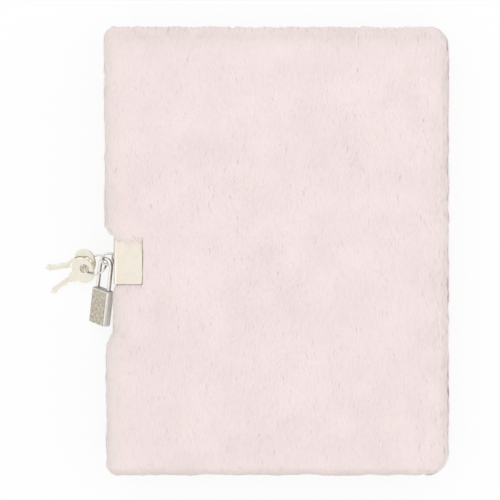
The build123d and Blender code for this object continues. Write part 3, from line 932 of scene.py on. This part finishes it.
def blade_points(places, normals, widths, roll, spread):
    """Two points at each station of a blade and one at its tip, with soft directions for shading."""
    count = len(widths)
    vertices, shading = np.zeros((count, 7, 3)), np.zeros((count, 7, 3))
    for k, share in enumerate(STATIONS):
        step = places[min(k + 1, 3)] - places[max(k - 1, 0)]
        step /= np.maximum(np.linalg.norm(step, axis=1, keepdims=True), 1e-9)
        side = np.cross(normals[k], step)
        side /= np.maximum(np.linalg.norm(side, axis=1, keepdims=True), 1e-9)
        tilted = side * np.cos(roll)[:, None] + normals[k] * np.sin(roll)[:, None]
        light = normals[k] + side * spread[:, None] + step * 0.1
        light /= np.linalg.norm(light, axis=1, keepdims=True)
        if k == 3:
            vertices[:, 6], shading[:, 6] = places[k], light
            break
        reach = (widths * (1 - 0.25 * share - 0.3 * share**2) / 2)[:, None]
        for i, way in ((2 * k, -1), (2 * k + 1, 1)):
            vertices[:, i] = places[k] + way * tilted * reach
            shading[:, i] = light + way * side * 0.08
    return vertices, shading


def blade_piece(name, vertices, shading, values, material):
    """Piece from arrays of blades, with a value for each of them and its soft shading."""
    count = len(vertices)
    start = np.arange(count)[:, None] * 7
    quads = np.concatenate([start + np.array([0, 2, 3, 1]), start + np.array([2, 4, 5, 3])])
    tips = start + np.array([4, 6, 5])
    mesh = bpy.data.meshes.new(name)
    mesh.vertices.add(count * 7)
    mesh.vertices.foreach_set("co", vertices.reshape(-1))
    corners = np.concatenate([quads.reshape(-1), tips.reshape(-1)])
    mesh.loops.add(len(corners))
    mesh.loops.foreach_set("vertex_index", corners)
    starts = np.concatenate([np.arange(len(quads)) * 4, len(quads) * 4 + np.arange(len(tips)) * 3])
    mesh.polygons.add(len(starts))
    mesh.polygons.foreach_set("loop_start", starts)
    mesh.update(calc_edges=True)
    mesh.shade_smooth()
    layers = {label: np.repeat(value, 7) for label, value in values.items()}
    layers = {"along": np.tile(STATIONS[[0, 0, 1, 1, 2, 2, 3]], count)} | layers
    for label, value in layers.items():
        layer = mesh.attributes.new(label, "FLOAT", "POINT")
        layer.data.foreach_set("value", value.astype(np.float32))
    shading = shading.reshape(-1, 3)
    shading = shading / np.linalg.norm(shading, axis=1, keepdims=True)
    mesh.normals_split_custom_set_from_vertices(shading.tolist())
    return place_piece(name, mesh, material)


def grid_faces(rows, columns):
    """Faces of a grid of points."""
    faces = []
    for i in range(rows - 1):
        for j in range(columns - 1):
            k = i * columns + j
            faces.append((k, k + 1, k + columns + 1, k + columns))
    return faces


def backing_piece(name, patch, material):
    """Knitted backing of one patch, rolled over its edges and let down under the clasp plate."""
    depth = bpy.context.scene.diary_plush.depth
    half = straight_half(depth)
    arc = ROLL_RADIUS * np.pi
    cover = patch in ("front", "back")
    v = np.concatenate(
        [
            np.linspace(-half - arc, -half, 12, endpoint=False),
            np.linspace(-half, half, 130),
            np.linspace(half, half + arc, 13)[1:],
        ]
    )
    if cover:
        a = np.concatenate([np.linspace(0, ROLL, 15), np.linspace(ROLL, 1, 100)[1:]])
    else:
        a = np.linspace(0, 1, 14)
    grid_a, grid_v = np.meshgrid(a, v, indexing="ij")
    flat_a, flat_v = grid_a.reshape(-1), grid_v.reshape(-1)
    if cover:
        limit = np.where(flat_a < ROLL / 2, half, half + arc / 2)
        flat_v = np.where(flat_a < ROLL, np.clip(flat_v, -limit, limit), flat_v)
    points, normals = skin_points(patch, flat_a, flat_v, depth)
    if cover:
        x, y = points[:, 0], points[:, 1]
        dip = np.clip(np.abs(normals[:, 2]), 0, 1)
        for gap in (plate_high.x - x, y - plate_low.y, plate_high.y - y):
            dip = dip * ease((gap + 1.2 * MM) / (1.0 * MM))
        points -= normals * (dip * PLATE_DIP)[:, None]
    points, faces = points.tolist(), grid_faces(len(a), len(v))
    if cover:
        turn_in_strips(points, faces, f"{patch}_turn", depth)
    piece = link_mesh(name, points, faces, material)
    shell = piece.modifiers.new("thickness", "SOLIDIFY")
    shell.thickness = BACKING_THICKNESS
    shell.offset = 1.0 if patch.startswith("front") or patch == "spine" else -1.0
    settle(piece)
    return piece


def turn_in_strips(points, faces, patch, depth):
    """Add the turned-in margins of the backing along the fore edge, head and tail."""
    inner_x, inner_y = paper_low.x + 0.3 * MM, paper_high.y - 0.3 * MM
    half = straight_half(depth)
    share = np.linspace(0, 1, 12)
    for low, high, count in ((-half, -inner_y, 6), (-inner_y, inner_y, 90), (inner_y, half, 6)):
        v = np.linspace(low, high, count)
        start = roll_start(v, depth)
        last = (inner_x - start) / (JOINT_X - start) if count > 6 else np.ones(count)
        grid_a = (share[:, None] * last[None, :]).reshape(-1)
        first = len(points)
        points += turn_points(patch, grid_a, np.tile(v, len(share)), depth)[0].tolist()
        faces += [tuple(first + k for k in reversed(face)) for face in grid_faces(len(share), count)]
    inner = FORE_CORNER - EDGE_REACH
    turns, dips = np.radians(np.linspace(0, 90, 10)), np.radians(np.linspace(90, 180, 8))
    for end in (1, -1):
        x, y = roll_start(np.array([end * half]), depth)[0] + inner, end * (half - inner)
        first = len(points)
        for turn in turns[::-end]:
            for dip in dips:
                reach = inner + EDGE_REACH * math.sin(dip)
                z = CORE_Z + TURN_FALL * math.cos(dip)
                z = z if patch == "front_turn" else 2 * MIDDLE_Z - z
                points.append((x - reach * math.cos(turn), y + end * reach * math.sin(turn), z))
        faces += [tuple(first + k for k in face) for face in grid_faces(len(turns), len(dips))]


class DIARY_OT_plush_backing(bpy.types.Operator):
    """Knitted backing over the boards, the spine and the two folds"""

    bl_idname = "diary.plush_backing"
    bl_label = "Plush backing"

    def execute(self, context):
        material = material_named("knitted_backing", backing_material)
        for patch, body in (("front", "front_cover"), ("spine", "spine"), ("back", "back_cover")):
            piece = backing_piece(f"{patch}_backing", patch, material)
            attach(piece, body)
            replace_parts(piece, f"{patch}_plush")
        bend_fold(backing_piece("front_joint_backing", "front_joint", material), "front_joint")
        bend_fold(backing_piece("back_joint_backing", "back_joint", material), "back_joint")
        return {"FINISHED"}


def bend_fold(piece, patch, padded=True):
    """Bake a piece's place over a fold into its mesh, and hide the fold's plush solid when it is padded."""
    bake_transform(piece)
    if padded:
        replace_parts(piece, f"{patch}_plush")


class DIARY_OT_plush_pile(bpy.types.Operator):
    """Pile of the plush, laid towards the tail"""

    bl_idname = "diary.plush_pile"
    bl_label = "Plush pile"

    def execute(self, context):
        plush = context.scene.diary_plush
        material = material_named("pale_pink_pile", pile_material)
        for patch, body, count, parts, factor in (
            ("front", "front_cover", plush.front_tufts, 4, 1.0),
            ("back", "back_cover", plush.back_tufts, 2, 1.3),
            ("spine", "spine", plush.spine_tufts, 1, 1.0),
        ):
            for part in range(parts):
                name = f"{patch}_pile_{part + 1}"
                piece = tuft_mesh(name, patch, count // parts, 100 + part, material, width_factor=factor)
                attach(piece, body)
        for patch, body in (("front_turn", "front_cover"), ("back_turn", "back_cover")):
            piece = tuft_mesh(f"{patch}_pile", patch, plush.turn_tufts, 31, material)
            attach(piece, body)
        for patch in ("front_joint", "back_joint"):
            piece = tuft_mesh(f"{patch}_pile", patch, plush.joint_tufts, 7, material)
            bend_fold(piece, patch, padded=False)
        return {"FINISHED"}


class DIARY_OT_boards(bpy.types.Operator):
    """Boards, endpapers and the lining of the pages"""

    bl_idname = "diary.boards"
    bl_label = "Boards and endpapers"

    def execute(self, context):
        paper = context.scene.diary_paper
        name, dark = "grey_board", rgba(paper.board, 0.6)
        board = material_named(name, paper_material, name, paper.board, dark, 0.6, 700.0)
        name, pale = "pink_endpaper", rgba(paper.endpaper, 1.08)
        lining = material_named(name, paper_material, name, paper.endpaper, pale, 0.4)
        for node in ("front_board", "back_board"):
            dress(node, board)
        for node in ("spine_board", "front_pastedown", "back_pastedown", "front_flyleaf", "back_flyleaf"):
            dress(node, lining)
        lining_strip(material_named("spine_gauze", gauze_material))
        return {"FINISHED"}


def lining_strip(material):
    """Gauze glued down the back of the pages."""
    low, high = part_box("spine_lining")
    near, far = low.x + 0.02 * MM, low.x + 0.27 * MM
    vertices, faces = [], []
    for z in np.linspace(low.z, high.z, 41):
        vertices += [(near, low.y, z), (near, high.y, z), (far, high.y, z), (far, low.y, z)]
    for k in range(0, len(vertices) - 4, 4):
        for i in range(4):
            j = (i + 1) % 4
            faces.append((k + i, k + 4 + i, k + 4 + j, k + j))
    last = len(vertices) - 4
    faces += [(0, 1, 2, 3), (last + 3, last + 2, last + 1, last)]
    piece = link_mesh("spine_gauze_strip", vertices, faces, material, smooth=False)
    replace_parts(piece, "spine_lining")
    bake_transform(piece)


class DIARY_OT_pages(bpy.types.Operator):
    """Leaves of the two halves of the pages"""

    bl_idname = "diary.pages"
    bl_label = "Pages"

    def execute(self, context):
        material = material_named("ruled_page", page_material)
        for node, body, seed in (("back_pages", "back_cover", 21), ("front_pages", "upper_pages", 22)):
            piece = leaf_stack(f"{node}_leaves", node, seed, material)
            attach(piece, body)
            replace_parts(piece, node)
        return {"FINISHED"}


# A leaf's share of its place in the stack, and the folded leaves of a signature with their rounded back
LEAF_FILL = 0.98
SIGNATURE_LEAVES = 11
SIGNATURE_ROUND = 0.45 * MM


def leaf_stack(name, node, seed, material):
    """Stack of leaves whose edges don't quite line up, gathered into folded signatures."""
    paper = bpy.context.scene.diary_paper
    low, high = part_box(node)
    count = int(round((high.z - low.z) / paper.leaf))
    chance = np.random.default_rng(seed)
    vertices, faces = [], []
    for i in range(count):
        z0 = low.z + (high.z - low.z) * i / count
        z1 = low.z + (high.z - low.z) * (i + LEAF_FILL) / count
        fore = low.x + abs(chance.normal(0, 0.09)) * MM
        head = high.y - abs(chance.normal(0, 0.07)) * MM
        tail = low.y + abs(chance.normal(0, 0.07)) * MM
        share = (i % SIGNATURE_LEAVES + 0.5) / SIGNATURE_LEAVES
        back = high.x - SIGNATURE_ROUND * (2 * share - 1) ** 4
        start = len(vertices)
        for z in (z0, z1):
            vertices += [(fore, tail, z), (back, tail, z), (back, head, z), (fore, head, z)]
        for face in ((3, 2, 1, 0), (4, 5, 6, 7), (0, 1, 5, 4), (1, 2, 6, 5), (2, 3, 7, 6), (3, 0, 4, 7)):
            faces.append(tuple(start + k for k in face))
    return link_mesh(name, vertices, faces, material, smooth=False)


# Where a clasp's bar lies, its wire's radius, and how far the edges of the metal are eased
BAR_IN, BAR_Y = 1.05 * MM, -4.2 * MM
LOOP_WIRE = 0.52 * MM
PLATE_EASE, CASE_EASE, SHACKLE_EASE = 0.14 * MM, 0.05 * MM, 0.06 * MM


def loop_points(hang, bar):
    """Line of a clasp's wire loop, with rounded corners, hung from its bar."""
    half, reach, big, small = 2.7 * MM, 6.3 * MM, 2.5 * MM, 0.7 * MM
    corners = [(0, -half, small), (-reach, -half, big), (-reach, half, big), (0, half, small)]
    points = []
    for k, (x, y, radius) in enumerate(corners):
        here = Vector((x, y, 0))
        before = (Vector(corners[k - 1][:2] + (0,)) - here).normalized()
        after = (Vector(corners[(k + 1) % 4][:2] + (0,)) - here).normalized()
        centre = here + (before + after) * radius
        for i in range(13):
            turn = math.radians(90) * i / 12
            points.append(centre - after * radius * math.cos(turn) - before * radius * math.sin(turn))
    spin = Matrix.Rotation(math.radians(-hang), 3, "Y")
    return [tuple(bar + spin @ point) for point in points]


class DIARY_OT_clasps(bpy.types.Operator):
    """Clasp plates and their wire loops"""

    bl_idname = "diary.clasps"
    bl_label = "Clasps"

    def execute(self, context):
        metal = context.scene.diary_metal
        bar_x = plate_low.x + BAR_IN
        for side, hang, level, up in (("front", 0.0, 13.0, 1.0), ("back", 75.0, 10.0, -1.0)):
            # the plates get painted shade where they bend away from the cover's outer face
            satin = plated(f"satin_nickel_{side}", metal.plate, 0.27, 0.32, 0.15, 0.9, (0.0, 0.0, up))
            plate = softened(f"{side}_clasp_plate", f"{side}_clasp", satin, PLATE_EASE)
            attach(plate, f"{side}_cover")
            line = loop_points(hang, Vector((bar_x, BAR_Y, level * MM)))
            loop = tube(f"{side}_wire_loop", line, LOOP_WIRE, bright_wire(), up=(0.01, 0.3, 1.0))
            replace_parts(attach(loop, f"{side}_loop"), f"{side}_loop")
        return {"FINISHED"}


class DIARY_OT_padlock(bpy.types.Operator):
    """Padlock: shell, shackle and works"""

    bl_idname = "diary.padlock"
    bl_label = "Padlock"

    def execute(self, context):
        metal = context.scene.diary_metal
        place = lock_matrix()
        turn = place.to_3x3()
        shell = material_named("padlock_shell", lock_shell_material)
        for side in ("front", "back"):
            piece = softened(f"lock_{side}_half", f"padlock_{side}", shell, CASE_EASE, place)
            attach(piece, "lock_case")
        # the shackle's bright side is up at rest, and away from it the wire gets painted shade
        bright_side = tuple(turn.transposed() @ Vector((0, 0, 1)))
        polished = plated("shackle_nickel", metal.wire, *WIRE_FINISH, bright_side)
        shackle = softened("shackle", "padlock_shackle", polished, SHACKLE_EASE, place)
        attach(shackle, "shackle")
        brass = plated("turned_brass", (0.62, 0.45, 0.2), 0.25, 0.4, 0.5)
        steel = plated("drawn_steel", (0.5, 0.49, 0.48), 0.2, 0.35, 0.2)
        for node in ("case_pins", "lock_plug", "lock_latch"):
            dress(node, brass)
        spring_piece("shackle_spring", steel, turn @ Vector((0, 1, 0)))
        spring_piece("latch_spring", steel, turn @ Vector((1, 0, 0)))
        return {"FINISHED"}


def spring_piece(node, material, axis):
    """Spring of the padlock, copied from its solid."""
    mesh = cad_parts[node].data.copy()
    piece = place_piece(f"{node}_wire", mesh, material)
    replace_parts(piece, node)
    places = sorted((vertex.co for vertex in mesh.vertices), key=axis.dot)
    middle = sum(places, Vector()) / len(places)
    middle -= axis * middle.dot(axis)
    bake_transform(piece)


# A key's bow, from its hole's edge outwards: share of the way to the rim, and height in millimetres
BOW_RINGS = [
    (0.0, 0.3), (0.03, 0.43), (0.1, 0.5), (0.26, 0.5), (0.36, 0.39),
    (0.72, 0.39), (0.82, 0.5), (0.94, 0.48), (1.0, 0.32),
]


def bow_mesh(work):
    """Oval bow of a key with a raised rim and a collar round its hole."""
    along, across, offset, hole = 5.4 * MM, 6.65 * MM, 1.2 * MM, 2.15 * MM
    around = 96
    turns = np.linspace(0, 2 * np.pi, around, endpoint=False)
    cos, sin = np.cos(turns), np.sin(turns)
    # distance from the hole's centre to the oval's edge
    qa = (cos / along) ** 2 + (sin / across) ** 2
    qb = -2 * offset * cos / along**2
    qc = (offset / along) ** 2 - 1
    rim = (-qb + np.sqrt(qb * qb - 4 * qa * qc)) / (2 * qa)
    loops = []
    for sign in (1, -1):
        for share, height in BOW_RINGS[::sign]:
            reach = hole + (rim - hole) * share
            z = sign * height * MM
            loops.append([work.verts.new((x, y, z)) for x, y in zip(reach * cos, reach * sin)])
    for k in range(len(loops)):
        inner, outer = loops[k], loops[(k + 1) % len(loops)]
        for i in range(around):
            j = (i + 1) % around
            work.faces.new((inner[i], outer[i], outer[j], inner[j]))


# A key's blade: where its shoulder ends, and the middle and depth of each cut, in millimetres
SHOULDER, SHOULDER_FADE, SHOULDER_END = 2.5 * MM, 7.5 * MM, 8.4 * MM
NOSE = 1.9 * MM
CUTS = [(10.6, 0.75), (12.9, 0.5), (14.9, 0.85), (17.0, 0.6)]


def blade_mesh(work, side):
    """Shoulder and cut blade of a key, with a groove along each face."""
    half, thick = BLADE_WIDTH / 2, BLADE_THICKNESS / 2
    edge = 0.1 * MM
    stations = []
    for x in np.linspace(5.4 * MM, KEY_REACH, 60):
        top, low = half, -half
        if x < SHOULDER_END:
            top = float(SHOULDER + (half - SHOULDER) * ease((x - SHOULDER_FADE) / (0.9 * MM)))
            low = -top
        for middle, cut in CUTS:
            top -= cut * MM * float(ease(1.5 - abs(x / MM - middle)))
        nose = float(ease((x - (KEY_REACH - NOSE)) / NOSE))
        top, low = top * (1 - 0.75 * nose), low * (1 - 0.75 * nose)
        flat = thick * (1 - 0.35 * nose)
        groove = 0.16 * MM * float(ease((x - 8.6 * MM) / (0.6 * MM))) * (1 - nose)
        g0, g1 = low + 0.75 * MM * (1 - nose), low + 1.35 * MM * (1 - 0.8 * nose)
        outline = [(low, -flat + edge), (low + edge, -flat), (g0, -flat), (g0 + edge, -flat + groove)]
        outline += [(g1 - edge, -flat + groove), (g1, -flat), (top - edge, -flat), (top, -flat + edge)]
        outline += [(y, -z) for y, z in reversed(outline)]
        stations.append([work.verts.new((x, side * y, z)) for y, z in outline])
    size = len(stations[0])
    for first, second in zip(stations, stations[1:]):
        for i in range(size):
            j = (i + 1) % size
            work.faces.new((first[i], second[i], second[j], first[j]))
    work.faces.new(stations[0])
    work.faces.new(list(reversed(stations[-1])))


def key_piece(name, side, material, place):
    """Whole key."""
    work = bmesh.new()
    bow_mesh(work)
    blade_mesh(work, side)
    bmesh.ops.recalc_face_normals(work, faces=work.faces)
    return edited_piece(work, name, material, 50, place)


class DIARY_OT_keys(bpy.types.Operator):
    """Two keys and their split ring"""

    bl_idname = "diary.keys"
    bl_label = "Keys and ring"

    def execute(self, context):
        nickel = plated("key_plating", context.scene.diary_metal.key, 0.24, 0.36, 0.3)
        for name, hole, heading, bank, side in (
            ("front_key", FRONT_HOLE, 215.0, 0.0, 1),
            ("rear_key", REAR_HOLE, 189.0, -20.0, -1),
        ):
            piece = key_piece(f"{name}_metal", side, nickel, key_matrix(hole, heading, bank))
            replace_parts(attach(piece, name), name)
        ring = split_ring(bright_wire())
        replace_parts(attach(ring, "key_ring"), "key_ring")
        return {"FINISHED"}


def split_ring(material):
    """Key ring of two close turns of flattened wire."""
    centre = LOCK_APEX + Vector((-5.55, -3.1, -6.3)) * MM
    normal = Vector((-0.5, 0.72, 1)).normalized()
    west = (Vector((-1, 0, 0)) - normal * Vector((-1, 0, 0)).dot(normal)).normalized()
    south = normal.cross(west)
    radius, turns, steps = 5.8 * MM, 1.94, 150
    first, pitch, wire = 2.2, 0.44 * MM, 0.45 * MM
    points = []
    for i in range(steps):
        share = i / (steps - 1)
        turn = 2 * math.pi * turns * share + first
        spoke = west * math.cos(turn) + south * math.sin(turn)
        points.append(tuple(centre + spoke * radius + normal * (pitch * (share - 0.5))))
    return tube("split_key_ring", points, wire, material, closed=False, squash=0.48, up=normal)


# Camera's sensor in millimetres, its place, the level that its frame fits, and half of the table
SENSOR = 36.0
CAMERA_X, CAMERA_Y = -12.2 * MM, 0.24 * MM
FRAMED_LEVEL = 18 * MM
TABLE_HALF = 3


class DIARY_OT_stage(bpy.types.Operator):
    """Camera straight above, soft light and a white table"""

    bl_idname = "diary.stage"
    bl_label = "Stage"

    def execute(self, context):
        stage = context.scene.diary_stage
        data = bpy.data.cameras.new("camera")
        camera = bpy.data.objects.new("camera", data)
        context.scene.collection.objects.link(camera)
        camera.location = (CAMERA_X, CAMERA_Y, stage.camera_height)
        data.sensor_width = SENSOR
        data.lens = SENSOR * (stage.camera_height - FRAMED_LEVEL) / stage.frame_width
        data.clip_start, data.clip_end = 0.01, 20.0
        context.scene.camera = camera
        corners = [(x * TABLE_HALF, y * TABLE_HALF, 0) for x, y in ((-1, -1), (1, -1), (1, 1), (-1, 1))]
        link_mesh("table", corners, [(0, 1, 2, 3)], table_material())
        add_lamp("key", (-0.6, 0.9, 1.1), 1.1, stage.key_power)
        add_lamp("spine_fill", (1.0, 0.1, 0.42), 0.6, stage.fill_power)
        add_lamp("fore_fill", (-1.0, -0.2, 0.3), 0.5, stage.fill_power * 0.25)
        set_world(context.scene, stage.dome)
        context.scene.view_settings.view_transform = "Standard"
        return {"FINISHED"}


def add_lamp(name, place, size, power):
    """Square soft lamp that faces the diary."""
    light = bpy.data.lights.new(name, "AREA")
    light.size, light.energy = size, power
    lamp = bpy.data.objects.new(name, light)
    lamp.location = place
    lamp.rotation_euler = (-Vector(place)).to_track_quat("-Z", "Y").to_euler()
    bpy.context.scene.collection.objects.link(lamp)


def seen_directly(tree):
    """1 where the camera, a mirror or glass looks at the surface."""
    path = add_node(tree, "ShaderNodeLightPath").outputs
    first = math_node(tree, "MAXIMUM", path["Is Camera Ray"], path["Is Glossy Ray"])
    return math_node(tree, "MAXIMUM", first, path["Is Transmission Ray"])


def show_mix(tree, kind, share, first, second):
    """Send a mix of two shaders to the output."""
    mix = add_node(tree, "ShaderNodeMixShader", {0: share, 1: first.outputs[0], 2: second.outputs[0]})
    connect(tree, add_node(tree, kind), {"Surface": mix.outputs[0]})


WHITE = (1, 1, 1, 1)
TABLE_WHITE = (0.97, 0.97, 0.97, 1)
TABLE_GLOW = 0.88


def table_material():
    """White table that keeps a soft shadow."""
    material = bpy.data.materials.new("white_table")
    material.use_nodes = True
    tree = material.node_tree
    tree.nodes.clear()
    matt = add_node(tree, "ShaderNodeBsdfDiffuse", {"Color": TABLE_WHITE})
    glow = add_node(tree, "ShaderNodeEmission", {"Color": WHITE, "Strength": 1.0})
    share = product(tree, seen_directly(tree), TABLE_GLOW)
    show_mix(tree, "ShaderNodeOutputMaterial", share, matt, glow)
    return material


def set_world(scene, strength):
    """Dome that is bright overhead and dim at the horizon, and white where it is seen."""
    world = bpy.data.worlds.new("studio")
    scene.world = world
    world.use_nodes = True
    tree = world.node_tree
    tree.nodes.clear()
    place = add_node(tree, "ShaderNodeTexCoord").outputs["Generated"]
    dome = product(tree, ramp(tree, split(tree, place)["Z"], 0.0, 0.8, 0.75, 1.15), strength)
    light = add_node(tree, "ShaderNodeBackground", {"Color": WHITE, "Strength": dome})
    white = add_node(tree, "ShaderNodeBackground", {"Color": WHITE, "Strength": 1.0})
    show_mix(tree, "ShaderNodeOutputWorld", seen_directly(tree), light, white)


OPERATORS = (
    DIARY_OT_plush_backing,
    DIARY_OT_plush_pile,
    DIARY_OT_boards,
    DIARY_OT_pages,
    DIARY_OT_clasps,
    DIARY_OT_padlock,
    DIARY_OT_keys,
    DIARY_OT_stage,
)
SETTINGS = (
    ("diary_plush", DiaryPlush),
    ("diary_metal", DiaryMetal),
    ("diary_paper", DiaryPaper),
    ("diary_stage", DiaryStage),
)


class DIARY_PT_panel(bpy.types.Panel):
    """Pieces of the diary and their settings"""

    bl_idname = "DIARY_PT_panel"
    bl_label = "Diary"
    bl_space_type = "VIEW_3D"
    bl_region_type = "UI"
    bl_category = "Diary"

    def draw(self, context):
        for operator in OPERATORS:
            self.layout.operator(operator.bl_idname)
        for name, group in SETTINGS:
            box = self.layout.box()
            for key in group.__annotations__:
                box.prop(getattr(context.scene, name), key)


def register():
    """Register the settings, the operators and the panel."""
    for name, group in SETTINGS:
        bpy.utils.register_class(group)
        setattr(bpy.types.Scene, name, PointerProperty(type=group))
    for operator in OPERATORS:
        bpy.utils.register_class(operator)
    bpy.utils.register_class(DIARY_PT_panel)


def unregister():
    """Take them away again."""
    bpy.utils.unregister_class(DIARY_PT_panel)
    for operator in reversed(OPERATORS):
        bpy.utils.unregister_class(operator)
    for name, group in reversed(SETTINGS):
        delattr(bpy.types.Scene, name)
        bpy.utils.unregister_class(group)


def main():
    """Make every piece in order."""
    register()
    bpy.ops.diary.plush_backing()
    bpy.ops.diary.plush_pile()
    bpy.ops.diary.boards()
    bpy.ops.diary.pages()
    bpy.ops.diary.clasps()
    bpy.ops.diary.padlock()
    bpy.ops.diary.keys()
    bpy.ops.diary.stage()


if __name__ == "__main__":
    main()
